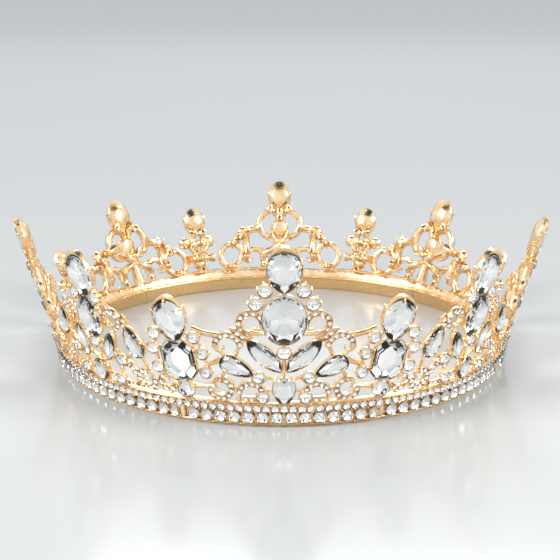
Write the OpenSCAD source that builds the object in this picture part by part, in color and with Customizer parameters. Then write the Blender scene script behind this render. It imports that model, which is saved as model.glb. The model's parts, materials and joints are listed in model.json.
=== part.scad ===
// Full-round crown: a cast, gold-plated alloy band of fourteen openwork motifs set with crystal stones.
// The origin is the centre of the head opening on the resting plane. +Z is up and the front faces -Y.

/* [Head ring] */
// Inside radius of the head opening
head_r = 70.2; // [60:0.1:80]
// Thickness of the smooth inner strip
strip_t = 0.9; // [0.6:0.1:1.6]
// Height of the smooth inner strip
strip_h = 4.8; // [3:0.1:7]
// Gap left at each strip joint
strip_gap = 0.16; // [0.05:0.01:0.6]

/* [Stone rail] */
// Slope height of the rail that carries the two stone rows
rail_v = 7.3; // [6.5:0.1:10]
// Outward lean of the rail in degrees
rail_lean = 12; // [0:1:20]
// Stones in the lower row of one rail section
low_count = 14; // [10:1:16]
// Diameter of a lower row stone
low_d = 3.4; // [2.6:0.1:3.6]
// Stones in the upper row of one rail section
high_count = 23; // [16:1:25]
// Diameter of an upper row stone
high_d = 2.1; // [1.5:0.1:2.3]
// Width of the post at each end of a rail section, in degrees
post_deg = 0.9; // [0.5:0.1:2]

/* [Openwork] */
// Lean of the motifs at the two sides of the crown, in degrees
lean_mid = 16.2; // [10:0.2:22]
// Extra lean from the sides to the back, in degrees
lean_swing = 5.2; // [0:0.2:8]
// Slope height of the front motif
front_v = 54.1; // [46:0.1:66]
// Thickness of the cast scrolls
cast_t = 1.3; // [0.9:0.1:2]
// Width of a scroll that carries small stones
scroll_w = 1.9; // [1.5:0.1:2.2]
// Depth of a round stone's cup
cup_t = 1.6; // [1.2:0.1:2.4]
// Depth of the cup at the top of a motif
peak_cup_t = 2.8; // [2:0.1:3.6]
// Metal left round a stone
rim = 0.26; // [0.2:0.02:0.4]

/* [Stones] */
// Height of a large stone above its cup
stone_up = 1.25; // [0.8:0.05:2]
// Diameter of the smallest stones
pave_d = 1.25; // [0.9:0.05:1.5]
// Room round a stone's edge in its seat
seat_room = 0.04; // [0.02:0.01:0.1]

/* [Hidden] */
$fn = 48;
strip_r = head_r + strip_t;
ref_r = strip_r + 0.7;
rail_r1 = ref_r + rail_v*sin(rail_lean);
rail_z1 = rail_v*cos(rail_lean);
foot_h = 0.7;
foot_deg_tall = 15.25;
foot_deg_short = 7.05;
low_v = 1.02 + low_d/2 + seat_room;
high_v = rail_v - 0.35 - high_d/2 - seat_room;
floor_n = -0.25;
lip_n = 0.35;
front_scale = (front_v - rail_v)/46.8;
claw_r = 0.36;
scroll_n = -0.22;
bar_t = cast_t - 0.35;
curl_w = 0.8;

// Outward lean of the motif at angle a, measured from the front.
function lean(a) = lean_mid - lean_swing*cos(a);
function shell_r(a, v) = rail_r1 + (v - rail_v)*sin(lean(a));
function shell_z(a, v) = rail_z1 + (v - rail_v)*cos(lean(a));

// Flat outlines of the cut stones, centred on the widest place.
function sgn(x) = x < 0 ? -1 : 1;
function pear(w, h, n) = [for (i = [0:n - 1]) let (c = cos(360*i/n), s = sin(360*i/n))
  s >= 0 ? [w/2*c, w/2*s] : [sgn(c)*w/2*pow(abs(c), 1.5), (h - w/2)*s]];
function marquise(w, h, n) = [for (i = [0:n - 1]) let (c = cos(360*i/n), s = sin(360*i/n))
  [sgn(c)*w/2*pow(abs(c), 1.5), h/2*s]];
function oval(w, h, n) = [for (i = [0:n - 1]) [w/2*cos(360*i/n), h/2*sin(360*i/n)]];
function octagon(w, h) = let (c = 0.24*w)
  [[w/2, h/2 - c], [w/2 - c, h/2], [c - w/2, h/2], [-w/2, h/2 - c],
   [-w/2, c - h/2], [c - w/2, -h/2], [w/2 - c, -h/2], [w/2, c - h/2]];
function outline(kind, w, h) = kind == "pear" ? pear(w, h, 24)
  : kind == "marquise" ? marquise(w, h, 20)
  : kind == "octagon" ? octagon(w, h)
  : oval(w, h, 24);

// One stone in a motif: kind, sideways place, slope height, turn, width, height, cup depth, claw angles.
front_centre = [
  ["peak", 0, 48.2, 0, 9.4, 11.6, peak_cup_t, [25, 155]],
  ["oval", 0, 33.4, 0, 12.1, 14.8, 2.2, []],
  ["round", 0, 23.4, 0, 3.8, 3.8, cup_t, [90]],
  ["drop", 0, 12.4, 0, 6.1, 7.7, 1.8, [40, 140]]
];
wing_centre = [
  ["peak", 0, 50.4, 0, 11.4, 16.0, peak_cup_t, [25, 155]],
  ["oval", 0, 31.2, 0, 11.6, 12.8, 2.2, []],
  ["round", 0, 22.9, 0, 3.8, 3.8, cup_t, [90]],
  ["drop", 0, 12.4, 0, 6.1, 7.7, 1.8, [40, 140]]
];
front_side = [
  ["round", 5.1, 41.9, 0, 3.8, 3.8, cup_t, [20, 80]],
  ["round", 7.55, 38.0, 0, 3.8, 3.8, cup_t, [10, 60]],
  ["marquise", 5.35, 22.3, -44, 5.1, 13.0, 1.8, []],
  ["side", 14.8, 19.6, -64, 5.6, 9.8, 1.8, []],
  ["round", 6.9, 15.7, 0, 3.6, 3.6, cup_t, [200, 340]],
  ["round", 5.9, 9.4, 0, 3.5, 3.5, cup_t, [60]]
];
wing_side = [
  ["round", 6.3, 40.2, 0, 4.1, 4.1, cup_t, [20, 80]],
  ["marquise", 5.35, 21.8, -44, 5.0, 12.6, 1.8, []],
  ["side", 13.3, 19.2, -64, 5.6, 9.8, 1.8, []],
  ["round", 6.8, 15.7, 0, 3.6, 3.6, cup_t, [200, 340]],
  ["round", 5.9, 9.6, 0, 3.5, 3.5, cup_t, [60]]
];
flank_centre = [
  ["peak", 0, 44.7, 0, 12.4, 13.8, peak_cup_t, [25, 155]],
  ["oval", 0, 30.2, 0, 11.6, 14.7, 2.2, []],
  ["round", 0, 21.2, 0, 3.8, 3.8, cup_t, [90]],
  ["drop", 0, 11.2, 0, 7.0, 8.0, 1.8, [40, 140]]
];
flank_side = [
  ["round", 4.9, 37.6, 0, 4.1, 4.1, cup_t, [20, 80]],
  ["marquise", 6.4, 20.6, -20, 4.8, 11.0, 1.8, []],
  ["side", 16.8, 22.8, -160, 7.2, 11.0, 1.8, []],
  ["round", 10.7, 17.0, 0, 3.7, 3.7, cup_t, [200, 340]],
  ["round", 8.4, 9.6, 0, 3.7, 3.7, cup_t, [60]]
];
short_centre = [
  ["short", 0, 32.4, 0, 9.8, 12.4, peak_cup_t, [30, 90, 150]],
  ["octagon", 0, 19.3, 0, 9.8, 12.2, 2.2, []],
  ["large", 0, 10.35, 0, 5.1, 5.1, 1.8, [135, 45]]
];
short_side = [
  ["round", 6.0, 26.9, 0, 3.5, 3.5, cup_t, [20]],
  ["round", 7.5, 22.2, 0, 3.5, 3.5, cup_t, [0]],
  ["round", 7.3, 16.4, 0, 3.5, 3.5, cup_t, [0]]
];
back_centre = [
  ["peak", 0, 37.0, 0, 8.6, 10.2, peak_cup_t, [20, 90, 160]],
  ["oval", 0, 23.6, 0, 6.4, 7.8, 2.2, [30, 150, 210, 330]]
];
back_side = [
  ["round", 14.4, 22.6, 0, 4.1, 4.1, cup_t, [30, 100]],
  ["round", 17.3, 18.9, 0, 2.7, 2.7, cup_t, [40]]
];
low_centre = [
  ["short", 0, 27.2, 0, 8.0, 9.2, peak_cup_t, [25, 90, 155]],
  ["large", 0, 10.9, 0, 4.5, 4.5, 1.8, [200, 340]]
];
low_side = [["round", 4.9, 19.4, 0, 3.9, 3.9, cup_t, [20, 320]]];

// One scroll: sideways place, slope height, radius, start, sweep, width, small stones on it,
// radius and sweep of the curl at its end (below zero: at its start).
front_arcs = [
  [9.1, 31.9, 3.2, -85, 275, scroll_w, 8, 1.4, 130],
  [15.5, 24.7, 3.5, -10, 190, scroll_w, 7, 1.2, -210],
  [17.6, 11.2, 3.0, 70, 300, scroll_w, 9, 1.3, -170],
  [9.1, 9.9, 3.4, 0, 160, scroll_w, 6, 0, 0],
  [9.1, 28.4, 20, 262.5, 14.5, 1.5, 3, 0, 0]
];
flank_arcs = [
  [9.3, 30.6, 3.0, -85, 275, scroll_w, 8, 1.4, 130],
  [17.9, 11.4, 3.0, 70, 300, scroll_w, 9, 1.3, -170],
  [11.6, 12.4, 3.2, 0, 160, scroll_w, 6, 0, 0],
  [11.8, 28.5, 20, 262.5, 14.5, 1.5, 3, 0, 0]
];
wing_arcs = concat([[9.3, 30.6, 3.0, -85, 275, scroll_w, 8, 1.4, 130]],
  [for (i = [1:4]) front_arcs[i]]);
short_arcs = [[5.9, 11.2, 2.1, 200, 250, 1.6, 4, 0.8, 120]];
back_arcs = [
  [2.9, 25.5, 5.2, -78, 158, 2.3, 10, 0, 0],
  [19.2, 13.2, 4.3, 95, 340, 2.1, 11, 1.3, 120],
  [9.9, 11.6, 3.5, 0, 185, 2.1, 7, 1.2, -190]
];
low_arcs = [];

// One straight bar, from the middle of one setting or scroll to the next: two places and a width.
front_bars = [
  [0, 47.5, 0, 33.4, 2.0], [0, 33.4, 0, 12.4, 1.3], [0, 44.5, 5.1, 41.9, 1.2],
  [5.1, 41.9, 7.55, 38.0, 1.2], [7.55, 38.0, 9.1, 35.1, 1.4], [0, 28.4, 9.3, 28.8, 1.3],
  [0, 23.2, 5.35, 22.3, 1.2], [5.35, 22.3, 10.4, 29.2, 1.2], [14.8, 20.0, 6.9, 15.8, 1.2],
  [6.9, 16.0, 0, 14.0, 1.1], [12.1, 25.2, 13.9, 20.5, 1.4], [18.9, 24.1, 15.6, 20.4, 1.1],
  [14.8, 19.5, 17.6, 14.2, 1.2], [17.6, 8.9, 17.6, 7.6, 1.6], [12.5, 10.4, 12.5, 7.6, 1.3],
  [4.9, 11.2, 0, 10.4, 1.1], [8.3, 13.2, 7.0, 15.6, 1.1], [12.2, 11.4, 14.8, 11.8, 1.1]
];
wing_bars = concat([
  [0, 50.4, 0, 31.0, 2.0], [0, 41.5, 6.3, 40.2, 1.2], [6.3, 40.2, 8.6, 33.4, 1.5], front_bars[1]],
  [for (i = [5:17]) front_bars[i]]);
flank_bars = [
  [0, 44.7, 0, 30.2, 2.0], [0, 30.2, 0, 11.0, 1.3], [0, 38.5, 4.9, 37.6, 1.2],
  [4.9, 37.6, 8.6, 33.6, 1.4], [0, 28.4, 9.5, 27.6, 1.3], [0, 21.2, 6.4, 20.6, 1.2],
  [6.4, 20.6, 9.5, 27.6, 1.2], [9.5, 27.6, 13.4, 28.4, 1.2], [13.4, 28.4, 16.8, 24.0, 1.2],
  [10.7, 17.0, 6.4, 20.6, 1.2], [10.7, 17.0, 0, 14.4, 1.1], [16.8, 20.0, 10.7, 17.0, 1.2],
  [17.4, 19.0, 18.6, 14.2, 1.2], [17.9, 8.9, 17.9, 7.6, 1.6], [8.6, 13.4, 8.4, 9.6, 1.2],
  [8.4, 9.6, 8.4, 7.6, 1.4], [8.4, 9.6, 0, 10.4, 1.1], [14.8, 12.4, 14.8, 7.6, 1.3]
];
short_bars = [
  [0, 32.4, 0, 7.6, 1.6], [0, 27.6, 6.0, 26.9, 1.2], [0, 22.2, 7.5, 22.2, 1.2],
  [0, 16.4, 7.3, 16.4, 1.2], [6.0, 26.9, 7.5, 22.2, 1.1], [7.5, 22.2, 7.3, 16.4, 1.1],
  [7.3, 16.4, 5.9, 13.2, 1.2], [5.9, 9.1, 5.9, 7.6, 1.4], [0, 11.0, 4.2, 11.2, 1.1]
];
back_bars = [
  [0, 34.5, 1.7, 29.8, 1.7], [1.7, 29.8, 0, 27.0, 1.5], [1.8, 34.0, 4.2, 30.6, 2.2],
  [0, 27.0, 0, 24.0, 2.6], [0, 23.6, 0, 7.6, 2.4], [0, 17.9, 4.2, 20.6, 2.2],
  [7.6, 24.0, 14.4, 22.6, 2.2], [14.4, 22.6, 17.3, 18.9, 2.2], [17.3, 18.9, 18.4, 17.0, 2.0],
  [19.3, 9.2, 19.3, 7.6, 2.6], [6.4, 11.8, 6.2, 7.6, 2.0], [13.2, 12.4, 15.2, 12.4, 1.9],
  [13.6, 21.6, 12.9, 13.4, 2.0], [6.6, 13.4, 0, 16.2, 2.0]
];
low_bars = [
  [0, 27.2, 1.9, 22.6, 2.4], [1.9, 22.6, 2.1, 18.0, 1.6], [2.1, 18.0, 0.9, 13.4, 1.7],
  [0, 18.6, 2.2, 18.6, 1.6], [0, 14.4, 0, 7.6, 2.4], [2.1, 18.4, 4.9, 19.4, 1.8],
  [4.9, 19.4, 1.6, 15.0, 1.6], [0, 12.9, 5.4, 12.6, 2.0], [0, 23.0, 2.0, 22.6, 1.4]
];
// One leaf: sideways place, slope height, turn, width, length.
front_leaves = [[12.0, 28.5, -56, 2.8, 6.6]];
flank_leaves = [[13.8, 30.5, -10, 2.8, 6.0]];

// Angle of each motif from the front, its share of the front motif's height and of its stones' size.
tall_at = [0, 45, 80, 132.8, 180, 227.2, 280, 315];
tall_share = [1, 0.894, 0.8, 0.86, 0.94, 0.86, 0.8, 0.894];
tall_sizes = [1, 0.9, 0.82, 1.05, 1, 1.05, 0.82, 0.9];
short_at = [22.5, 105, 155.5, 204.5, 255, 337.5];
short_share = [1, 0.8, 0.97, 0.97, 0.8, 1];
short_sizes = [1, 0.9, 1, 1, 0.9, 1];
function tall_rise(i) = front_scale*tall_share[i];
function short_rise(i) = front_scale*short_share[i];

// The tables of each design: centre stones, side stones, scrolls, bars, leaves, edge and foot.
front_design = [front_centre, front_side, front_arcs, front_bars, front_leaves, 20, foot_deg_tall];
wing_design = [wing_centre, wing_side, wing_arcs, wing_bars, [], 20, foot_deg_tall];
flank_design = [flank_centre, flank_side, flank_arcs, flank_bars, flank_leaves, 20, foot_deg_tall];
back_design = [back_centre, back_side, back_arcs, back_bars, [], 20, foot_deg_tall];
short_design = [short_centre, short_side, short_arcs, short_bars, [], 9, foot_deg_short];
low_design = [low_centre, low_side, [], low_bars, [], 9, foot_deg_short];
function tall_design(i) = i == 0 ? front_design : i == 1 || i == 7 ? flank_design
  : i == 2 || i == 6 ? wing_design : back_design;
function low_one(i) = i > 0 && i < 5;
function short_like(i) = low_one(i) ? low_design : short_design;

// Sideways places close up near the middle of a smaller motif and keep their place at its edge.
function side_u(u, s, edge) = u*(s + (1 - s)*min(1, abs(u)/edge));
function rise_v(v, k) = rail_v + (v - rail_v)*k;

// The two short motifs beside the front one tip away from it in their own plane.
function tip(a) = a == 22.5 ? 7 : a == 337.5 ? -7 : 0;

// Puts flat work on the flared shell: a is the motif's angle from the front.
module on_shell(a, u, v) {
  r = shell_r(a, v);
  rotate([0, 0, a + (u + (v - 22)*tan(tip(a)))/r*180/PI]) translate([0, -r, shell_z(a, v)])
    rotate([90 + lean(a), 0, 0]) rotate([0, 0, -tip(a)]) children();
}

// A scroll on the side of a tipped motif that faces the front motif is left out.
function keeps(a, side) = tip(a) == 0 || side*tip(a) > 0;

// A flat-backed cut stone on its cup.
module cut_stone(kind, w, h, up) {
  shape = kind == "peak" || kind == "side" || kind == "drop" || kind == "short" ? "pear" : kind;
  linear_extrude(height = up, scale = 0.6) polygon(outline(shape, w, h));
}

module cup(kind, w, h, d) {
  shape = kind == "peak" || kind == "side" || kind == "drop" || kind == "short" ? "pear" : kind;
  if (kind == "round" || kind == "large")
    translate([0, 0, -d]) cylinder(r1 = 0.62*w/2, r2 = w/2 + rim, h = d);
  else {
    translate([0, 0, -0.6*d]) linear_extrude(0.6*d) polygon(outline(shape, w + 2*rim, h + 2*rim));
    translate([0, 0, -d]) linear_extrude(0.5*d) polygon(outline(shape, w - 1.4, h - 1.4));
  }
}

module claw(kind, w, h, d, at) {
  shape = kind == "peak" || kind == "side" || kind == "drop" || kind == "short" ? "pear" : kind;
  g = claw_r + 0.1;
  c = cos(at);
  s = sin(at);
  low = shape == "pear" && s < 0 ? h - w/2 + g : (shape == "pear" || kind == "round" || kind == "large"
    ? w/2 + g : h/2 + g);
  x = shape == "marquise" ? sgn(c)*(w/2 + g)*pow(abs(c), 1.5) : (w/2 + g)*c;
  translate([x, low*s, -0.4*d]) cylinder(r1 = claw_r, r2 = 0.7*claw_r, h = 0.4*d + 0.75);
}

module scroll(c, s) {
  r = c[2]*s;
  a0 = c[3];
  sweep = c[4];
  w = c[5];
  tail = c[7]*s;
  end = c[8] < 0 ? a0 : a0 + sweep;
  rotate([0, 0, a0]) rotate_extrude(angle = sweep) translate([r - w/2, -cast_t]) square([w, cast_t]);
  if (sweep < 360) for (t = [a0, a0 + sweep])
    rotate([0, 0, t]) translate([r, 0, -cast_t - 0.06]) cylinder(d = w + 0.2, h = cast_t + 0.12);
  if (tail > 0) rotate([0, 0, end]) translate([r - tail, 0, 0]) {
    rotate([0, 0, min(0, c[8])]) rotate_extrude(angle = abs(c[8]))
      translate([tail - curl_w/2, -cast_t + 0.1]) square([curl_w, cast_t - 0.2]);
    rotate([0, 0, c[8]]) translate([tail, 0, -cast_t]) cylinder(d = curl_w + 0.35, h = cast_t);
  }
}

module bar(a, k, s, edge, b) {
  u0 = side_u(b[0], s, edge);
  u1 = side_u(b[2], s, edge);
  v0 = b[1] > 8.5 ? rise_v(b[1], k) : b[1];
  v1 = b[3] > 8.5 ? rise_v(b[3], k) : b[3];
  long = sqrt(pow(u1 - u0, 2) + pow(v1 - v0, 2));
  on_shell(a, (u0 + u1)/2, (v0 + v1)/2) rotate([0, 0, atan2(v1 - v0, u1 - u0)])
    translate([0, 0, scroll_n - 0.25 - bar_t/2]) cube([long, b[4], bar_t], center = true);
}

// One stone's setting: its cup and its claws.
module setting(q, s) {
  cup(q[0], q[4]*s, q[5]*s, q[6]);
  for (t = q[7]) claw(q[0], q[4]*s, q[5]*s, q[6], t);
}

// The cast work of one motif: settings, scrolls, leaves, bars and the foot that meets the rail.
module casting(a, k, s, t) {
  edge = t[5];
  foot(a, t[6]);
  for (q = t[0]) on_stone(a, q, k, s, edge, 1) setting(q, s);
  for (side = [-1, 1]) {
    for (q = t[1]) on_stone(a, q, k, s, edge, side) setting(q, s);
    if (keeps(a, side)) for (c = t[2]) on_shell(a, side*side_u(c[0], s, edge), rise_v(c[1], k))
      flip(side) translate([0, 0, scroll_n]) scroll(c, s);
    for (f = t[4]) on_shell(a, side*side_u(f[0], s, edge), rise_v(f[1], k)) flip(side)
      rotate([0, 0, f[2]]) translate([0, 0, scroll_n - cast_t]) linear_extrude(cast_t)
        polygon(marquise(f[3], f[4], 16));
    for (b = t[3]) if (side > 0 || b[0] > 0 || b[2] > 0)
      bar(a, k, s, edge, [side*b[0], b[1], side*b[2], b[3], b[4]]);
  }
}

// A stone's place: on the shell, lifted by its own height, mirrored on the left half.
module on_stone(a, q, k, s, edge, side) {
  on_shell(a, side*side_u(q[1], s, edge), rise_v(q[2], k)) flip(side)
    translate([0, 0, lift(q[0])]) rotate([0, 0, q[3]]) children();
}

module flip(side) {
  mirror([side < 0 ? 1 : 0, 0, 0]) children();
}

// Neighbouring stones sit at different heights.
function lift(kind) = kind == "round" ? 0.2 : kind == "marquise" || kind == "short" ? -0.15
  : kind == "side" ? 0.05 : kind == "large" ? 0.1 : 0;

// The foot is a curved bar on top of the rail.
module foot(a, half) {
  rotate([0, 0, a - 90 - half]) rotate_extrude(angle = 2*half, $fn = 96)
    polygon([rail_p(rail_v, -0.8), rail_p(rail_v, 0.05), rail_p(rail_v + foot_h, 0.05),
      rail_p(rail_v + foot_h, -0.8)]);
}

// A point of the rail's section: v up the slope, n out from the face of the castings.
function rail_p(v, n) = [ref_r + v*sin(rail_lean) + n*cos(rail_lean), v*cos(rail_lean) - n*sin(rail_lean)];

module rail(a) {
  half = 22.5 - 0.05;
  low_a = low_v - low_d/2 - seat_room;
  low_b = low_v + low_d/2 + seat_room;
  high_a = high_v - high_d/2 - seat_room;
  high_b = high_v + high_d/2 + seat_room;
  rotate([0, 0, a - 90 - half]) rotate_extrude(angle = 2*half, $fn = 96)
    polygon([[strip_r, 0], [ref_r + lip_n, 0], rail_p(low_a, lip_n), rail_p(low_a, floor_n),
      rail_p(low_b, floor_n), rail_p(low_b, lip_n), rail_p(high_a, lip_n), rail_p(high_a, floor_n),
      rail_p(high_b, floor_n), rail_p(high_b, lip_n), rail_p(rail_v, lip_n), rail_p(rail_v, -0.8),
      [strip_r, strip_h + 0.1]]);
  for (e = [-1, 1]) rotate([0, 0, a - 90 + e*(half - post_deg/2) - post_deg/2])
    rotate_extrude(angle = post_deg, $fn = 96)
      polygon([rail_p(low_a - 0.05, floor_n - 0.1), rail_p(low_b + 0.05, floor_n - 0.1),
        rail_p(low_b + 0.05, lip_n), rail_p(low_a - 0.05, lip_n)]);
  for (i = [0:low_count - 2]) for (v = [low_a - 0.25, low_b + 0.08])
    on_rail(a + low_angle(i + 0.5), v) translate([0, 0, lip_n - 0.1]) cylinder(r1 = 0.34, r2 = 0.2, h = 0.5);
}

// Angles of the stones in a rail section.
function low_angle(i) = (i + 0.5 - low_count/2)*(45 - 1.2)/low_count;
function high_angle(i) = (i + 0.5 - high_count/2)*45/high_count;

module on_rail(t, v) {
  p = rail_p(v, 0);
  rotate([0, 0, t]) translate([0, -p[0], p[1]]) rotate([90 + rail_lean, 0, 0]) children();
}

// A row stone: flat back, short wall and a tapering top.
module row_stone(d, up) {
  translate([0, 0, floor_n]) rotate_extrude() polygon([[0, 0], [0.42*d, 0], [d/2, 0.5], [d/2, 0.62],
    [0.3*d, up], [0, up]]);
}

module inner_strip(a) {
  half = 45 - strip_gap/2/head_r*180/PI;
  rotate([0, 0, a - 90 - half]) rotate_extrude(angle = 2*half, $fn = 128)
    polygon([[head_r, 0], [strip_r, 0], [strip_r, strip_h - 0.15], [strip_r - 0.15, strip_h],
      [head_r + 0.15, strip_h], [head_r, strip_h - 0.15]]);
}

module solder_pad(a) {
  rotate([0, 0, a]) translate([0, -(strip_r - strip_t/2), strip_h]) rotate([0, 90, 0])
    difference() {
      cylinder(d = 1.3, h = 3.2, center = true);
      translate([1, 0, 0]) cube([2, 2, 4], center = true);
    }
}

module small_stone() {
  cylinder(d1 = pave_d, d2 = 0.6*pave_d, h = 0.45);
}

module pave_of(a, k, s, t) {
  edge = t[5];
  for (side = [-1, 1]) {
    if (keeps(a, side)) for (c = t[2]) if (c[6] > 0)
      on_shell(a, side*side_u(c[0], s, edge), rise_v(c[1], k)) flip(side) for (i = [0:c[6] - 1])
        rotate([0, 0, c[3] + c[4]*(i + 0.5)/c[6]]) translate([c[2]*s, 0, scroll_n]) small_stone();
    for (f = t[4]) on_shell(a, side*side_u(f[0], s, edge), rise_v(f[1], k))
      flip(side) rotate([0, 0, f[2]]) for (e = [-0.8, 0.9])
        translate([0, e, scroll_n]) small_stone();
  }
}

module tall_casting(i) {
  casting(tall_at[i], tall_rise(i), tall_sizes[i], tall_design(i));
}

module short_casting(i) {
  casting(short_at[i], short_rise(i), short_sizes[i], short_like(i));
}

module picked(kind) {
  for (i = [0:7]) set_of(tall_at[i], tall_rise(i), tall_sizes[i], tall_design(i), kind);
  for (i = [0:5]) set_of(short_at[i], short_rise(i), short_sizes[i], short_like(i), kind);
}

module set_of(a, k, s, t, kind) {
  for (q = t[0]) if (q[0] == kind) on_stone(a, q, k, s, t[5], 1) jewel(q[0], q[4]*s, q[5]*s);
  for (side = [-1, 1]) for (q = t[1]) if (q[0] == kind)
    on_stone(a, q, k, s, t[5], side) jewel(q[0], q[4]*s, q[5]*s);
}

module jewel(kind, w, h) {
  if (kind == "round" || kind == "large")
    rotate_extrude() polygon([[0, 0], [w/2, 0], [w/2, 0.15],
      [0.3*w, min(stone_up, 0.3*w)], [0, min(stone_up, 0.3*w)]]);
  else cut_stone(kind, w, h, stone_up);
}

gold = [0.89, 0.72, 0.44];
crystal = [0.92, 0.94, 0.95];

module part_strip(i) {
  color(gold) inner_strip(90*i);
}
module part_solder() {
  color(gold) for (i = [0:3]) solder_pad(90*i + 45);
}
module part_rail(i) {
  color(gold) rail(45*i);
}
module part_tall(i) {
  color(gold) tall_casting(i);
}
module part_short(i) {
  color(gold) short_casting(i);
}
module part_low_stones() {
  color(crystal) for (s = [0:7]) for (i = [0:low_count - 1])
    on_rail(45*s + low_angle(i), low_v) row_stone(low_d, 1.25);
}
module part_high_stones() {
  color(crystal) for (s = [0:7]) for (i = [0:high_count - 1])
    on_rail(45*s + high_angle(i), high_v) row_stone(high_d, 1.0);
}
module part_jewels(kind) {
  color(crystal) picked(kind);
}
module part_pave() {
  color(crystal) {
    for (i = [0:7]) pave_of(tall_at[i], tall_rise(i), tall_sizes[i], tall_design(i));
    for (i = [0:5]) pave_of(short_at[i], short_rise(i), short_sizes[i], short_like(i));
  }
}

part_strip(0);  // inner_strip_front
part_strip(1);  // inner_strip_right
part_strip(2);  // inner_strip_back
part_strip(3);  // inner_strip_left
part_solder();  // solder_joints
part_rail(0);  // stone_rail_front
part_rail(1);  // stone_rail_front_right
part_rail(2);  // stone_rail_right
part_rail(3);  // stone_rail_back_right
part_rail(4);  // stone_rail_back
part_rail(5);  // stone_rail_back_left
part_rail(6);  // stone_rail_left
part_rail(7);  // stone_rail_front_left
part_tall(0);  // tall_motif_front
part_tall(1);  // tall_motif_front_right
part_tall(2);  // tall_motif_right
part_tall(3);  // tall_motif_back_right
part_tall(4);  // tall_motif_back
part_tall(5);  // tall_motif_back_left
part_tall(6);  // tall_motif_left
part_tall(7);  // tall_motif_front_left
part_short(0);  // short_motif_front_right
part_short(1);  // short_motif_right_back
part_short(2);  // short_motif_back_right
part_short(3);  // short_motif_back_left
part_short(4);  // short_motif_left_back
part_short(5);  // short_motif_front_left
part_low_stones();  // lower_row_stones
part_high_stones();  // upper_row_stones
part_jewels("peak");  // peak_pear_stones
part_jewels("oval");  // oval_stones
part_jewels("octagon");  // octagon_stones
part_jewels("marquise");  // marquise_stones
part_jewels("side");  // side_pear_stones
part_jewels("drop");  // drop_pear_stones
part_jewels("short");  // short_pear_stones
part_jewels("large");  // large_round_stones
part_jewels("round");  // medium_round_stones
part_pave();  // pave_stones
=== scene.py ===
import json
import math

import bpy
import numpy as np
from mathutils import Matrix, Vector


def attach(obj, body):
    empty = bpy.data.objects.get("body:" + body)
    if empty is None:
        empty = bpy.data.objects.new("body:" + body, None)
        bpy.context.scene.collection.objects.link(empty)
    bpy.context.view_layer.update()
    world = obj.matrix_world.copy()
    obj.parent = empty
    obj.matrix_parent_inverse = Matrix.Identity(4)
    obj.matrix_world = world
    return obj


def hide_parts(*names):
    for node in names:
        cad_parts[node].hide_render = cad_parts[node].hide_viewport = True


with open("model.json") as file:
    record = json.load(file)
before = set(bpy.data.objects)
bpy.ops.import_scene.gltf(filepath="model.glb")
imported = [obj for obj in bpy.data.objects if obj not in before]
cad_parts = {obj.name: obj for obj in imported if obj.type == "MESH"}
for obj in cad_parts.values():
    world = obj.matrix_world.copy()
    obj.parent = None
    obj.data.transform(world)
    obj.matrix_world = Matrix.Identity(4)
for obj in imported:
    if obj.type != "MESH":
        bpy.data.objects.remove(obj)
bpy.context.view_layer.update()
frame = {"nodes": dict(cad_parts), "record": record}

mm = 0.001
fullTurn = 2 * math.pi

# The head opening's radius comes from the frame, and the rest follows from it.
headR = frame["record"]["mounts"][0]["dims"]["r_mm"]

shell = {
    "stripThick": 0.9,
    "stripHigh": 4.8,
    "railHigh": 7.3,  # up the slope
    "railGap": 0.7,  # from the strip to the rail's face
    "railLean": 12.0,  # degrees outwards
    "leanMiddle": 16.2,
    "leanSwing": 5.2,  # more lean at the back, less in front
    "scrollSunk": -0.22,
}
stripR = headR + shell["stripThick"]
castR = stripR + shell["railGap"]
railSin = math.sin(math.radians(shell["railLean"]))
railCos = math.cos(math.radians(shell["railLean"]))
railTopR = castR + shell["railHigh"] * railSin
railTopZ = shell["railHigh"] * railCos


def leanAt(angle):
    return math.radians(shell["leanMiddle"] - shell["leanSwing"] * math.cos(math.radians(angle)))


def shellPoint(angle, v):
    # radius, height and lean of the castings' face at this angle and slope height
    if v < shell["railHigh"]:
        return castR + v * railSin, v * railCos, math.radians(shell["railLean"])
    lean = leanAt(angle)
    up = v - shell["railHigh"]
    return railTopR + up * math.sin(lean), railTopZ + up * math.cos(lean), lean


def shellMatrix(angle, u, v, lift=0.0, turn=0.0, flip=False):
    # stands a flat template, in mm, at its place on the flared shell, in metres
    tip = math.radians(tips.get(angle, 0))
    u += (v - tipPivot) * math.tan(tip)
    r, z, lean = shellPoint(angle, v)
    turnRound = Matrix.Rotation(math.radians(angle) + u / r, 4, "Z")
    stand = Matrix.Rotation(math.pi / 2 + lean, 4, "X")
    mirror = Matrix.Diagonal((-1, 1, 1, 1)) if flip else Matrix.Identity(4)
    place = Matrix.Translation((0, -r, z))
    local = Matrix.Translation((0, 0, lift)) @ Matrix.Rotation(math.radians(turn), 4, "Z")
    return Matrix.Scale(mm, 4) @ turnRound @ place @ stand @ Matrix.Rotation(-tip, 4, "Z") @ mirror @ local


def clearSelection():
    if bpy.context.object and bpy.context.object.mode != "OBJECT":
        bpy.ops.object.mode_set(mode="OBJECT")
    bpy.ops.object.select_all(action="DESELECT")


def editAll(obj):
    clearSelection()
    bpy.context.view_layer.objects.active = obj
    obj.select_set(True)
    bpy.ops.object.mode_set(mode="EDIT")
    bpy.ops.mesh.select_all(action="SELECT")


def objectMode():
    bpy.ops.object.mode_set(mode="OBJECT")


def takeMesh(obj, name):
    # keeps the modelled mesh and drops the object it was shaped in
    objectMode()
    mesh = obj.data
    mesh.name = name
    mesh.use_fake_user = True
    bpy.data.objects.remove(obj)
    return mesh


def coords(mesh):
    flat = np.empty(len(mesh.vertices) * 3)
    mesh.vertices.foreach_get("co", flat)
    return flat.reshape(-1, 3)


def setCoords(mesh, points):
    mesh.vertices.foreach_set("co", np.asarray(points, float).ravel())
    mesh.update()


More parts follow.
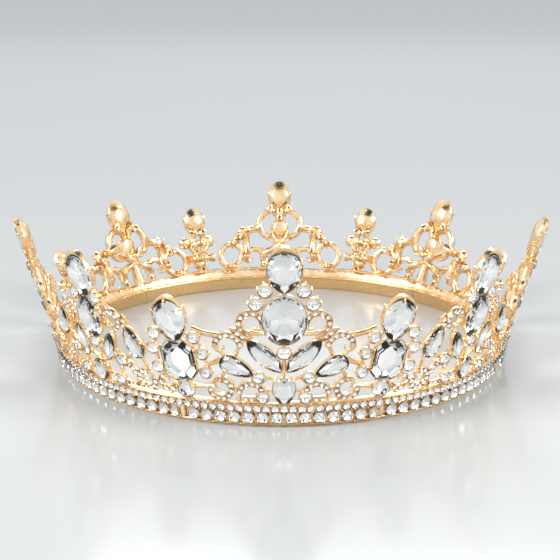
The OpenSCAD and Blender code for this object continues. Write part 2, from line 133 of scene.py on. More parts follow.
def signed(x):
    return -1.0 if x < 0 else 1.0


def outline(kind, w, h, t):
    # a point of the girdle at turn t (0 to 1), from the right-hand side, in mm
    c, s = math.cos(fullTurn * t), math.sin(fullTurn * t)
    if kind == "pear":
        if s >= 0:
            return w / 2 * c, w / 2 * s
        return signed(c) * w / 2 * abs(c) ** 1.5, (h - w / 2) * s
    if kind == "marquise":
        return signed(c) * w / 2 * abs(c) ** 1.45, h / 2 * s
    if kind == "octagon":
        power = 0.42
        return signed(c) * w / 2 * abs(c) ** power, signed(s) * h / 2 * abs(s) ** power
    return w / 2 * c, h / 2 * s


def ringPoints(kind, w, h, count, turn, size, z):
    return [(*[size * q for q in outline(kind, w, h, (i + turn) / count)], z) for i in range(count)]


def octagonRing(w, h, size, z):
    cut = 0.24 * w
    corners = [(w / 2, h / 2 - cut), (w / 2 - cut, h / 2), (cut - w / 2, h / 2), (-w / 2, h / 2 - cut),
               (-w / 2, cut - h / 2), (cut - w / 2, -h / 2), (w / 2 - cut, -h / 2), (w / 2, cut - h / 2)]
    # a step cut's inner steps keep the same width of step all round
    step = (1 - size) * w / 2
    return [(x - signed(x) * min(step, abs(x)), y - signed(y) * min(step, abs(y)), z) for x, y in corners]


def cutStone(name, rings):
    # rings of corners, pulled together into flat facets
    bpy.ops.mesh.primitive_circle_add(vertices=len(rings[0]), radius=1)
    stone = bpy.context.object
    editAll(stone)
    for ring in rings[1:]:
        bpy.ops.mesh.primitive_circle_add(vertices=len(ring), radius=1)
    objectMode()
    setCoords(stone.data, [p for ring in rings for p in ring])
    editAll(stone)
    bpy.ops.mesh.convex_hull(join_triangles=True, face_threshold=math.radians(2), shape_threshold=math.radians(60))
    bpy.ops.mesh.normals_make_consistent(inside=False)
    mesh = takeMesh(stone, name)
    mesh.materials.append(cutGlass)
    mesh.materials.append(foil)
    foilFaces(mesh)
    return mesh


def foilFaces(mesh):
    # slot 0 is the clear glass, slot 1 the foiled back
    for face in mesh.polygons:
        face.material_index = 1 if face.normal.z < -0.12 and face.center.z < 0.02 else 0
        face.use_smooth = False


def fancyStone(name, kind, w, h, up, down, count=16):
    half = count // 2
    if kind == "octagon":
        rings = [octagonRing(w, h, 1.0, 0.0), octagonRing(w, h, 1.0, 0.22), octagonRing(w, h, 0.84, 0.55 * up + 0.1),
                 octagonRing(w, h, 0.62, up), octagonRing(w, h, 0.76, -0.5 * down), octagonRing(w, h, 0.52, -down)]
        return cutStone(name, rings)
    rings = [ringPoints(kind, w, h, count, 0, 1.0, 0.0), ringPoints(kind, w, h, count, 0, 1.0, 0.14),
             ringPoints(kind, w, h, half, 0.5, 0.84, 0.14 + 0.52 * (up - 0.14)),
             ringPoints(kind, w, h, half, 0, 0.6, up),
             ringPoints(kind, w, h, half, 0.5, 0.62, -0.45 * down),
             ringPoints(kind, w, h, half, 0, 0.24, -0.86 * down), ringPoints(kind, w, h, 4, 0, 0.04, -down)]
    return cutStone(name, rings)


def roundStone(name, d, up, down, count=12):
    half = count // 2
    rings = [ringPoints("round", d, d, count, 0, 1.0, 0.0), ringPoints("round", d, d, half, 0.5, 0.8, 0.6 * up),
             ringPoints("round", d, d, half, 0, 0.56, up), ringPoints("round", d, d, half, 0.5, 0.5, -0.5 * down),
             ringPoints("round", d, d, 3, 0, 0.06, -down)]
    return cutStone(name, rings)


def tinyStone(name, d, up, down):
    rings = [ringPoints("round", d, d, 8, 0, 1.0, 0.0), ringPoints("round", d, d, 4, 0.5, 0.6, up),
             ringPoints("round", d, d, 4, 0, 0.35, -down)]
    return cutStone(name, rings)


setting = {"rim": 0.26, "lip": 0.3, "clawR": 0.36}


def cup(name, kind, w, h, depth, count=32, hood=0.0):
    # a cast collet: rounded closed back, flared wall and a thin lip round the girdle
    bpy.ops.mesh.primitive_circle_add(vertices=count, radius=1, fill_type="NGON")
    obj = bpy.context.object
    rim = setting["rim"]
    flat = [(*outline(kind, w, h, i / count), -depth) for i in range(count)]
    if kind == "octagon":
        flat = [(x, y, -depth) for x, y, _ in denseOctagon(w, h, count)]
    setCoords(obj.data, flat)
    grow = lambda edge: (1 + 2 * edge / w, 1 + 2 * edge / h)
    steps = [(grow(-0.22 * w), 0.0), (grow(-0.13 * w), 0.16 * depth), (grow(-0.02 * w), 0.42 * depth),
             (grow(rim * 0.85), 0.66 * depth), (grow(rim), depth - 0.1), (grow(rim * 0.8), depth + setting["lip"]),
             (grow(0.1), depth + setting["lip"] + 0.04), (grow(0.04), depth + 0.02), (grow(-0.12 * w), 0.42 * depth),
             (grow(-0.28 * w), 0.1 * depth)]
    editAll(obj)
    now, level = (1.0, 1.0), 0.0
    for index, (size, z) in enumerate(steps):
        if index:
            bpy.ops.mesh.extrude_region_move(TRANSFORM_OT_translate={"value": (0, 0, z - level)})
        bpy.ops.transform.resize(value=(size[0] / now[0], size[1] / now[1], 1), center_override=(0, 0, 0))
        now, level = size, z
    bpy.ops.mesh.select_all(action="SELECT")
    bpy.ops.mesh.normals_make_consistent(inside=False)
    objectMode()
    if hood:
        # the top of a peak's cup stands out as a polished hood
        edge = [outline(kind, w * 1.01, h * 1.01, i / 32) for i in range(32)]
        points = coords(obj.data)
        for p in points:
            if p[1] > 0 and not holds(edge, p[0], p[1]):
                rise = (p[1] / (0.5 * w)) ** 2
                p[1] += hood * min(rise, 1.2)
                p[2] += 0.25 * hood * min(rise, 1.2) * (1 if p[2] > -0.3 else 0)
        setCoords(obj.data, points)
    clearSelection()
    obj.select_set(True)
    bpy.context.view_layer.objects.active = obj
    bpy.ops.object.shade_smooth_by_angle(angle=math.radians(50))
    return takeMesh(obj, name)


def denseOctagon(w, h, count):
    corners = octagonRing(w, h, 1.0, 0.0)
    each = count // 8
    points = []
    for i in range(8):
        a, b = Vector(corners[i]), Vector(corners[(i + 1) % 8])
        points += [tuple(a.lerp(b, k / each)) for k in range(each)]
    return points


def claw(name, reach, high):
    # a prong that rises beside the stone and bends its rounded tip over the edge, towards -X
    bpy.ops.mesh.primitive_cylinder_add(vertices=8, radius=setting["clawR"], depth=0.4, location=(0, 0, -0.9))
    obj = bpy.context.object
    clearSelection()
    obj.select_set(True)
    bpy.ops.object.transform_apply(location=True, rotation=False, scale=False)
    editAll(obj)
    bpy.ops.mesh.select_all(action="DESELECT")
    bpy.ops.mesh.select_mode(type="FACE")
    objectMode()
    for face in obj.data.polygons:
        face.select = face.normal.z > 0.9
    bpy.ops.object.mode_set(mode="EDIT")
    bends = ((0, 0.8, 0.95), (-0.05, high * 0.6, 0.9), (-0.4 * reach, high * 0.3, 0.92), (-0.6 * reach, high * 0.1, 0.6))
    for dx, dz, size in bends:
        bpy.ops.mesh.extrude_region_move(TRANSFORM_OT_translate={"value": (dx, 0, dz)})
        bpy.ops.transform.resize(value=(size, size, size))
    objectMode()
    clearSelection()
    obj.select_set(True)
    bpy.context.view_layer.objects.active = obj
    bpy.ops.object.shade_smooth_by_angle(angle=math.radians(70))
    return takeMesh(obj, name)


# The motifs are flat work, sideways u and slope height v in mm, bent round the shell afterwards.
# kind, outline, u, v, turn, width, height, cup depth, claw directions in degrees
frontCentre = [
    ("peak", "pear", 0, 48.2, 0, 9.4, 11.6, 2.8, (25, 155)),
    ("oval", "oval", 0, 33.4, 0, 12.1, 14.8, 2.2, ()),
    ("round", "round", 0, 23.4, 0, 3.8, 3.8, 1.6, ()),
    ("drop", "pear", 0, 12.6, 0, 6.3, 8.8, 1.8, (40, 140)),
]
frontSide = [
    ("round", "round", 5.1, 41.9, 0, 3.8, 3.8, 1.6, (20, 80)),
    ("round", "round", 7.55, 38.0, 0, 3.8, 3.8, 1.6, (10, 60)),
    ("marquise", "marquise", 5.35, 22.3, -44, 5.1, 13.0, 1.8, ()),
    ("side", "pear", 14.8, 19.6, -64, 5.6, 9.8, 1.8, ()),
    ("round", "round", 6.9, 15.7, 0, 3.6, 3.6, 1.6, (200, 340)),
    ("round", "round", 5.9, 9.4, 0, 3.6, 3.6, 1.6, (60,)),
]
wingCentre = [
    ("peak", "pear", 0, 50.4, 0, 11.4, 16.0, 2.8, (25, 155)),
    ("oval", "oval", 0, 31.2, 0, 11.6, 12.8, 2.2, ()),
    ("round", "round", 0, 22.9, 0, 3.8, 3.8, 1.6, ()),
    ("drop", "pear", 0, 12.4, 0, 6.1, 7.7, 1.8, (40, 140)),
]
wingSide = [
    ("round", "round", 6.3, 40.2, 0, 4.1, 4.1, 1.6, (20, 80)),
    ("marquise", "marquise", 5.35, 21.8, -44, 5.0, 12.6, 1.8, ()),
    ("side", "pear", 13.3, 19.2, -64, 5.6, 9.8, 1.8, ()),
    ("round", "round", 6.8, 15.7, 0, 3.6, 3.6, 1.6, (200, 340)),
    ("round", "round", 5.9, 9.6, 0, 3.6, 3.6, 1.6, (60,)),
]
flankCentre = [
    ("peak", "pear", 0, 44.7, 0, 12.4, 13.8, 2.8, (25, 155)),
    ("oval", "oval", 0, 30.2, 0, 11.6, 14.7, 2.2, ()),
    ("round", "round", 0, 21.2, 0, 3.8, 3.8, 1.6, (90,)),
    ("drop", "pear", 0, 11.2, 0, 7.0, 8.0, 1.8, (40, 140)),
]
flankSide = [
    ("round", "round", 4.9, 37.6, 0, 4.1, 4.1, 1.6, (20, 80)),
    ("marquise", "marquise", 6.4, 20.6, -20, 4.8, 11.0, 1.8, ()),
    ("side", "pear", 16.8, 22.8, -160, 7.2, 11.0, 1.8, ()),
    ("round", "round", 10.7, 17.0, 0, 3.7, 3.7, 1.6, (200, 340)),
    ("round", "round", 8.4, 9.6, 0, 3.7, 3.7, 1.6, (60,)),
]
shortCentre = [
    ("short", "pear", 0, 32.4, 0, 9.8, 12.4, 2.8, (30, 90, 150)),
    ("octagon", "octagon", 0, 19.3, 0, 9.8, 12.2, 2.2, ()),
    ("large", "round", 0, 10.35, 0, 5.1, 5.1, 1.8, (135, 45)),
]
shortSide = [
    ("round", "round", 6.0, 26.9, 0, 3.5, 3.5, 1.6, (20,)),
    ("round", "round", 7.5, 22.2, 0, 3.5, 3.5, 1.6, (0,)),
    ("round", "round", 7.3, 16.4, 0, 3.5, 3.5, 1.6, (0,)),
]
backCentre = [
    ("peak", "pear", 0, 37.0, 0, 8.6, 10.2, 2.8, (20, 90, 160)),
    ("oval", "oval", 0, 23.6, 0, 6.4, 7.8, 2.2, (30, 150, 210, 330)),
]
backSide = [
    ("round", "round", 14.4, 22.6, 0, 4.1, 4.1, 1.6, (30, 100)),
    ("round", "round", 17.3, 18.9, 0, 2.7, 2.7, 1.6, (40,)),
]
lowCentre = [
    ("short", "pear", 0, 27.2, 0, 8.0, 9.2, 2.8, (25, 90, 155)),
    ("large", "round", 0, 10.9, 0, 4.5, 4.5, 1.8, (200, 340)),
]
lowSide = [("round", "round", 4.9, 19.4, 0, 3.9, 3.9, 1.6, (20, 320))]

# u, v, radius, start, sweep, width, small stones, curl radius, curl sweep (below zero at the start)
frontScrolls = [
    (9.1, 31.9, 3.2, -85, 275, 1.9, 8, 1.4, 130),
    (15.5, 24.7, 3.5, -10, 190, 1.9, 7, 1.2, -210),
    (17.6, 11.2, 3.0, 70, 300, 1.9, 9, 1.3, -170),
    (9.1, 9.9, 3.4, 0, 160, 1.9, 6, 0, 0), (9.1, 28.4, 20, 262.5, 14.5, 1.5, 3, 0, 0),
]
shortScrolls = [(5.9, 11.2, 2.1, 200, 250, 1.6, 4, 0.8, 120)]
backScrolls = [
    (2.9, 25.5, 5.2, -78, 158, 2.3, 10, 0, 0),
    (19.2, 13.2, 4.3, 95, 340, 2.1, 11, 1.3, 120),
    (9.9, 11.6, 3.5, 0, 185, 2.1, 7, 1.2, -190),
]

# from and to, u and v each, and the width between them
frontBars = [
    (0, 47.5, 0, 33.4, 2.0), (0, 33.4, 0, 12.4, 1.3), (0, 44.5, 5.1, 41.9, 1.2),
    (5.1, 41.9, 7.55, 38.0, 1.2), (7.55, 38.0, 9.1, 35.1, 1.4), (0, 28.4, 9.3, 28.8, 1.3),
    (0, 23.2, 5.35, 22.3, 1.2), (5.35, 22.3, 10.4, 29.2, 1.2), (14.8, 20.0, 6.9, 15.8, 1.2),
    (6.9, 16.0, 0, 14.0, 1.1), (12.1, 25.2, 13.9, 20.5, 1.4), (18.9, 24.1, 15.6, 20.4, 1.1),
    (14.8, 19.5, 17.6, 14.2, 1.2), (17.6, 8.9, 17.6, 7.6, 1.6), (12.5, 10.4, 12.5, 7.6, 1.3),
    (4.9, 11.2, 0, 10.4, 1.1), (8.3, 13.2, 7.0, 15.6, 1.1), (12.2, 11.4, 14.8, 11.8, 1.1),
    (18.0, 27.2, 26.0, 28.6, 1.8), (18.0, 19.8, 22.4, 17.8, 1.7), (20.4, 11.4, 26.2, 10.8, 1.7),
]
flankBars = [
    (0, 44.7, 0, 30.2, 2.0), (0, 30.2, 0, 11.0, 1.3), (0, 38.5, 4.9, 37.6, 1.2),
    (4.9, 37.6, 8.6, 33.6, 1.4), (0, 28.4, 9.5, 27.6, 1.3), (0, 21.2, 6.4, 20.6, 1.2),
    (6.4, 20.6, 9.5, 27.6, 1.2), (9.5, 27.6, 13.4, 28.4, 1.2), (13.4, 28.4, 16.8, 24.0, 1.2),
    (10.7, 17.0, 6.4, 20.6, 1.2), (10.7, 17.0, 0, 14.4, 1.1), (16.8, 20.0, 10.7, 17.0, 1.2),
    (17.4, 19.0, 18.6, 14.2, 1.2), (17.9, 8.9, 17.9, 7.6, 1.6), (8.6, 13.4, 8.4, 9.6, 1.2),
    (8.4, 9.6, 8.4, 7.6, 1.4), (8.4, 9.6, 0, 10.4, 1.1), (14.8, 12.4, 14.8, 7.6, 1.3),
]
shortBars = [
    (0, 32.4, 0, 7.6, 1.6), (0, 27.6, 6.0, 26.9, 1.2), (0, 22.2, 7.5, 22.2, 1.2),
    (0, 16.4, 7.3, 16.4, 1.2), (6.0, 26.9, 7.5, 22.2, 1.1), (7.5, 22.2, 7.3, 16.4, 1.1),
    (7.3, 16.4, 5.9, 13.2, 1.2, 1), (5.9, 9.1, 5.9, 7.6, 1.4, 1), (0, 11.0, 4.2, 11.2, 1.1, 1),
]
backBars = [
    (0, 34.5, 1.7, 29.8, 1.7), (1.7, 29.8, 0, 27.0, 1.5), (1.8, 34.0, 4.2, 30.6, 2.2), (0, 27.0, 0, 24.0, 2.6),
    (0, 23.6, 0, 7.6, 2.4), (0, 17.9, 4.2, 20.6, 2.2), (7.6, 24.0, 14.4, 22.6, 2.2),
    (14.4, 22.6, 17.3, 18.9, 2.2), (17.3, 18.9, 18.4, 17.0, 2.0), (19.3, 9.2, 19.3, 7.6, 2.6),
    (6.4, 11.8, 6.2, 7.6, 2.0), (13.2, 12.4, 15.2, 12.4, 1.9), (13.6, 21.6, 12.9, 13.4, 2.0),
    (6.6, 13.4, 0, 16.2, 2.0),
]
lowBars = [
    (0, 27.2, 1.9, 22.6, 2.4), (1.9, 22.6, 2.1, 18.0, 1.6), (2.1, 18.0, 0.9, 13.4, 1.7), (0, 18.6, 2.2, 18.6, 1.6),
    (0, 14.4, 0, 7.6, 2.4), (2.1, 18.4, 4.9, 19.4, 1.8), (4.9, 19.4, 1.6, 15.0, 1.6), (0, 12.9, 5.4, 12.6, 2.0),
    (0, 23.0, 2.0, 22.6, 1.4),
]
frontLeaves = [(12.0, 28.5, -56, 2.8, 6.6)]
flankLeaves = [(13.8, 30.5, -10, 2.8, 6.0)]
flankScrolls = [
    (9.3, 30.6, 3.0, -85, 275, 1.9, 8, 1.4, 130), (17.9, 11.4, 3.0, 70, 300, 1.9, 9, 1.3, -170),
    (11.6, 12.4, 3.2, 0, 160, 1.9, 6, 0, 0), (11.8, 28.5, 20, 262.5, 14.5, 1.5, 3, 0, 0),
]
wingScrolls = [(9.3, 30.6, 3.0, -85, 275, 1.9, 8, 1.4, 130)] + frontScrolls[1:]
wingBars = [
    (0, 50.4, 0, 31.0, 2.0), (0, 41.5, 6.3, 40.2, 1.2), (6.3, 40.2, 8.6, 33.4, 1.5),
] + frontBars[1:2] + frontBars[5:18]



def motifDesign(centre, side, scrolls, bars, leaves, wide, cast):
    # edge is where a motif's outermost work stands and foot is half its bar, in degrees
    span = {"edge": 20, "foot": 15.25} if wide else {"edge": 9, "foot": 7.05}
    return {"centre": centre, "side": side, "scrolls": scrolls, "bars": bars, "leaves": leaves, "cast": cast, **span}


fineCast, heavyCast = 1.15, 1.8
tall = motifDesign(frontCentre, frontSide, frontScrolls, frontBars, frontLeaves, True, fineCast)
flank = motifDesign(flankCentre, flankSide, flankScrolls, flankBars, flankLeaves, True, fineCast)
wing = motifDesign(wingCentre, wingSide, wingScrolls, wingBars, [], True, fineCast)
short = motifDesign(shortCentre, shortSide, shortScrolls, shortBars, [], False, fineCast)
tallBack = motifDesign(backCentre, backSide, backScrolls, backBars, [], True, heavyCast)
shortBack = motifDesign(lowCentre, lowSide, [], lowBars, [], False, heavyCast)

# node name, angle from the front, design, share of the height, share of the stone size
motifs = [
    ("tall_motif_front", 0, tall, 1, 1), ("tall_motif_front_right", 45, flank, 0.894, 0.9),
    ("tall_motif_right", 80, wing, 0.8, 0.82), ("tall_motif_back_right", 132.8, tallBack, 0.86, 1.05),
    ("tall_motif_back", 180, tallBack, 0.94, 1), ("tall_motif_back_left", 227.2, tallBack, 0.86, 1.05),
    ("tall_motif_left", 280, wing, 0.8, 0.82), ("tall_motif_front_left", 315, flank, 0.894, 0.9),
    ("short_motif_front_right", 22.5, short, 1, 1),
    ("short_motif_right_back", 105, shortBack, 0.8, 0.9), ("short_motif_back_right", 155.5, shortBack, 0.97, 1),
    ("short_motif_back_left", 204.5, shortBack, 0.97, 1), ("short_motif_left_back", 255, shortBack, 0.8, 0.9),
    ("short_motif_front_left", 337.5, short, 1, 1),
]
# the two short motifs beside the front one tip away from it in their own plane
tips = {22.5: 7.0, 337.5: -7.0}
tipPivot = 22.0
hoods = {"peak": 1.5, "short": 1.2}
lifts = {"round": 0.2, "marquise": -0.15, "short": -0.15, "side": 0.05, "large": 0.1}


def placeU(u, size, edge):
    return u * (size + (1 - size) * min(1, abs(u) / edge))


def placeV(v, rise):
    return shell["railHigh"] + (v - shell["railHigh"]) * rise


def wrapFlat(points, angle):
    # bends flat work (u, v, n) in mm round the shell, in metres
    u, v, n = points[:, 0], points[:, 1], points[:, 2]
    u = u + (v - tipPivot) * math.tan(math.radians(tips.get(angle, 0)))
    lean = leanAt(angle)
    railLean = math.radians(shell["railLean"])
    up = v - shell["railHigh"]
    above = up >= 0
    r = np.where(above, railTopR + up * math.sin(lean), castR + v * railSin)
    z = np.where(above, railTopZ + up * math.cos(lean), v * railCos)
    tilt = np.where(above, lean, railLean)
    turn = math.radians(angle) + u / r
    r = r + n * np.cos(tilt)
    z = z - n * np.sin(tilt)
    return np.stack([r * np.sin(turn), -r * np.cos(turn), z], 1) * mm


def grooveSection(width, thick):
    # a band with two raised edges and a sunk floor for the small stones; its back corners are rounded
    w = width / 2
    half = [(w - 0.45, -thick), (w - 0.12, -thick + 0.16), (w, -thick + 0.45), (w, -0.12), (w - 0.07, 0.09),
            (w - 0.18, 0.13), (w - 0.27, 0.05), (w - 0.34, -0.46)]
    return half + [(-x, y) for x, y in reversed(half)]


def roundSection(width, thick):
    # a cast wire
    turns = [fullTurn * i / 10 for i in range(10)]
    return [(width / 2 * math.cos(t), -thick / 2 + thick / 2 * math.sin(t)) for t in turns]


def sectionObject(points):
    curve = bpy.data.curves.new("section", "CURVE")
    curve.dimensions = "2D"
    line = curve.splines.new("POLY")
    line.points.add(len(points) - 1)
    for point, (x, y) in zip(line.points, points):
        point.co = (x, y, 0, 1)
    line.use_cyclic_u = True
    section = bpy.data.objects.new("section", curve)
    bpy.context.collection.objects.link(section)
    return section


def sweep(paths, section):
    # draws a section along flat paths of (x, y, share of the width), and gives one closed mesh
    profile = sectionObject(section)
    curve = bpy.data.curves.new("path", "CURVE")
    curve.dimensions = "2D"
    curve.fill_mode = "NONE"
    for path in paths:
        line = curve.splines.new("POLY")
        line.points.add(len(path) - 1)
        for point, (x, y, share) in zip(line.points, path):
            point.co = (x, y, 0, 1)
            point.radius = share
    curve.bevel_mode = "OBJECT"
    curve.bevel_object = profile
    curve.use_fill_caps = True
    obj = bpy.data.objects.new("path", curve)
    bpy.context.collection.objects.link(obj)
    clearSelection()
    obj.select_set(True)
    bpy.context.view_layer.objects.active = obj
    bpy.ops.object.convert(target="MESH")
    editAll(obj)
    bpy.ops.mesh.remove_doubles(threshold=0.0005)
    bpy.ops.mesh.normals_make_consistent(inside=False)
    objectMode()
    bpy.ops.object.shade_smooth_by_angle(angle=math.radians(46))
    bpy.data.objects.remove(profile)
    return obj


def arcPath(cx, cy, r, start, turn, share=1.0, tip=1.0):
    steps = max(6, int(abs(turn) / 9))
    path = []
    for i in range(steps + 1):
        a = math.radians(start + turn * i / steps)
        path.append((cx + r * math.cos(a), cy + r * math.sin(a), share + (tip - share) * i / steps))
    return path


def copyOf(mesh, matrix):
    # a copy with its own mesh, its place in its vertices
    made = mesh.copy()
    made.transform(matrix)
    if matrix.determinant() < 0:
        made.flip_normals()
    obj = bpy.data.objects.new("copy", made)
    bpy.context.collection.objects.link(obj)
    return obj


def joinAll(objs, name, materials):
    clearSelection()
    for obj in objs:
        obj.select_set(True)
    bpy.context.view_layer.objects.active = objs[0]
    if len(objs) > 1:
        bpy.ops.object.join()
    whole = bpy.context.view_layer.objects.active
    whole.name = name
    whole.data.name = name
    if not whole.data.materials:
        for material in materials:
            whole.data.materials.append(material)
    return whole


def linear(code):
    parts = [int(code[i:i + 2], 16) / 255 for i in (1, 3, 5)]
    return tuple(c / 12.92 if c <= 0.04045 else ((c + 0.055) / 1.055) ** 2.4 for c in parts) + (1.0,)


def addNode(tree, kind, links=(), **values):
    # adds a node, sets its properties and sockets, and links (output, input name) pairs
    node = tree.nodes.new(kind)
    for key, value in values.items():
        if hasattr(node, key):
            setattr(node, key, value)
        else:
            node.inputs[key.replace("_", " ")].default_value = value
    for output, socket in links:
        tree.links.new(output, node.inputs[socket])
    return node


def newMaterial(name):
    material = bpy.data.materials.new(name)
    material.use_nodes = True
    return material, material.node_tree, material.node_tree.nodes["Principled BSDF"]


def setRamp(node, stops):
    ramp = node.color_ramp
    while len(ramp.elements) < len(stops):
        ramp.elements.new(0.5)
    for element, (place, color) in zip(ramp.elements, stops):
        element.position = place
        element.color = color


finish = {
    "gold": "#FAE0BA", "goldDeep": "#F0C791", "strip": "#F8DCAE", "solderPad": "#F4D3A2",
    "castRough": 0.16, "castGrain": 0.9, "stripRough": 0.24, "glassTint": "#FFFFFF", "foil": "#FFFFFE",
}

# Polished zinc casting under a light gold plate: warm mirror with a soft lumpy cast skin.
castGold, tree, shader = newMaterial("goldPlatedCasting")
place = addNode(tree, "ShaderNodeTexCoord")
lumps = addNode(tree, "ShaderNodeTexNoise", [(place.outputs["Object"], "Vector")], Detail=3.0, Roughness=0.55,
                Scale=1 / (finish["castGrain"] * mm))
tone = addNode(tree, "ShaderNodeTexNoise", [(place.outputs["Object"], "Vector")], Scale=1 / (4.0 * mm), Detail=2.0)
toneRamp = addNode(tree, "ShaderNodeValToRGB", [(tone.outputs["Fac"], "Fac")])
setRamp(toneRamp, [(0.32, linear(finish["goldDeep"])), (0.62, linear(finish["gold"]))])
roughRamp = addNode(tree, "ShaderNodeMapRange", [(lumps.outputs["Fac"], "Value")])
roughRamp.inputs["To Min"].default_value = finish["castRough"] - 0.06
roughRamp.inputs["To Max"].default_value = finish["castRough"] + 0.1
bump = addNode(tree, "ShaderNodeBump", [(lumps.outputs["Fac"], "Height")], Strength=0.6, Distance=0.16 * mm)
tree.links.new(toneRamp.outputs["Color"], shader.inputs["Base Color"])
tree.links.new(roughRamp.outputs["Result"], shader.inputs["Roughness"])
tree.links.new(bump.outputs["Normal"], shader.inputs["Normal"])
shader.inputs["Metallic"].default_value = 1.0

# Rolled brass strip, gold plated: satin with fine drawn lines along it and a few faint specks.
satinGold, tree, shader = newMaterial("goldPlatedStrip")
place = addNode(tree, "ShaderNodeTexCoord")
lines = addNode(tree, "ShaderNodeMapping", [(place.outputs["Object"], "Vector")])
lines.inputs["Scale"].default_value = (1, 1, 9)
grain = addNode(tree, "ShaderNodeTexNoise", [(lines.outputs["Vector"], "Vector")], Detail=4.0, Roughness=0.65,
                Scale=1 / (1.6 * mm))
stripRamp = addNode(tree, "ShaderNodeValToRGB", [(grain.outputs["Fac"], "Fac")])
setRamp(stripRamp, [(0.35, linear("#E6B878")), (0.66, linear(finish["strip"]))])
bump = addNode(tree, "ShaderNodeBump", [(grain.outputs["Fac"], "Height")], Strength=0.2, Distance=0.06 * mm)
tree.links.new(stripRamp.outputs["Color"], shader.inputs["Base Color"])
tree.links.new(bump.outputs["Normal"], shader.inputs["Normal"])
shader.inputs["Metallic"].default_value = 1.0
shader.inputs["Roughness"].default_value = finish["stripRough"]

# Soft solder, plated over: smooth and a little wavy.
solderGold, tree, shader = newMaterial("platedSolder")
place = addNode(tree, "ShaderNodeTexCoord")
waves = addNode(tree, "ShaderNodeTexNoise", [(place.outputs["Object"], "Vector")], Scale=1 / (1.4 * mm), Detail=1.0)
bump = addNode(tree, "ShaderNodeBump", [(waves.outputs["Fac"], "Height")], Strength=0.5, Distance=0.15 * mm)
tree.links.new(bump.outputs["Normal"], shader.inputs["Normal"])
shader.inputs["Base Color"].default_value = linear(finish["solderPad"])
shader.inputs["Metallic"].default_value = 1.0
shader.inputs["Roughness"].default_value = 0.2

# Machine-cut glass: clear, hard edged and polished.
cutGlass, tree, shader = newMaterial("cutGlass")
shader.inputs["Base Color"].default_value = linear(finish["glassTint"])
shader.inputs["Roughness"].default_value = 0.0
shader.inputs["IOR"].default_value = 1.52
shader.inputs["Transmission Weight"].default_value = 1.0

# Silver foil fired on the back of the stones: a slightly uneven mirror.
foil, tree, shader = newMaterial("silverFoil")
place = addNode(tree, "ShaderNodeTexCoord")
cloud = addNode(tree, "ShaderNodeTexNoise", [(place.outputs["Object"], "Vector")], Scale=1 / (2.5 * mm), Detail=1.0)
foilRamp = addNode(tree, "ShaderNodeValToRGB", [(cloud.outputs["Fac"], "Fac")])
setRamp(foilRamp, [(0.3, linear("#F6F6F5")), (0.65, linear(finish["foil"]))])
tree.links.new(foilRamp.outputs["Color"], shader.inputs["Base Color"])
shader.inputs["Metallic"].default_value = 1.0
shader.inputs["Roughness"].default_value = 0.04

print("finishes made")

bigClaw = claw("claw", 0.55, 0.75)
tableHigh = 1.25  # no stone's table stands higher over its girdle
cupMeshes = {}
stoneMeshes = {}


def cupFor(shape, w, h, depth, hood=0.0):
    key = (shape, round(w, 2), round(h, 2), depth, hood)
    if key not in cupMeshes:
        cupMeshes[key] = cup("cup", shape, w, h, depth, 32 if w > 4 else 20, hood)
    return cupMeshes[key]


def stoneFor(shape, w, h, depth):
    key = (shape, round(w, 2), round(h, 2))
    if key not in stoneMeshes:
        if shape == "round":
            stoneMeshes[key] = roundStone("round", w, min(tableHigh, 0.32 * w), min(0.42 * w, 0.88 * depth))
        else:
            back = 0.15 if shape == "oval" else 0.115
            stoneMeshes[key] = fancyStone(shape, shape, w, h, min(tableHigh, 0.22 * w), min(back * w, 0.82 * depth))
    return stoneMeshes[key]


def settings(design):
    # every setting of a motif, with the side it is on
    for row in design["centre"]:
        yield row, 1
    for side in (1, -1):
        for row in design["side"]:
            yield row, side


def wrap(obj, angle):
    setCoords(obj.data, wrapFlat(coords(obj.data), angle))
    editAll(obj)
    bpy.ops.mesh.normals_make_consistent(inside=False)
    objectMode()


smallStones = []


def settingPlaces(design, rise, size):
    # the girdle of every setting of a motif, drawn flat
    edges = []
    for (kind, shape, u, v, turn, w, h, depth, claws), side in settings(design):
        c, s = math.cos(math.radians(turn)), math.sin(math.radians(turn))
        cu, cv = side * placeU(u, size, design["edge"]), placeV(v, rise)
        points = [outline(shape, w * size * 0.84, h * size * 0.84, i / 24) for i in range(24)]
        edges.append([(cu + side * (x * c - y * s), cv + x * s + y * c) for x, y in points])
    return edges


def holds(edge, x, y):
    inside = False
    for (x0, y0), (x1, y1) in zip(edge, edge[1:] + edge[:1]):
        if (y0 > y) != (y1 > y) and x < (x1 - x0) * (y - y0) / (y1 - y0) + x0:
            inside = not inside
    return inside


def clipped(path, edges):
    # the runs of a path that lie outside every setting
    runs, run = [], []
    for x, y, share in path:
        if any(holds(edge, x, y) for edge in edges):
            if len(run) > 1:
                runs.append(run)
            run = []
        else:
            run.append((x, y, share))
    return runs + [run] if len(run) > 1 else runs


bandWide = 1.7  # a scroll's grooved band before it is scaled
bladeShares = ((-0.5, 0.2), (-0.4, 0.55), (-0.25, 0.9), (-0.08, 1.0), (0.1, 0.98), (0.27, 0.75), (0.4, 0.45), (0.52, 0.12))


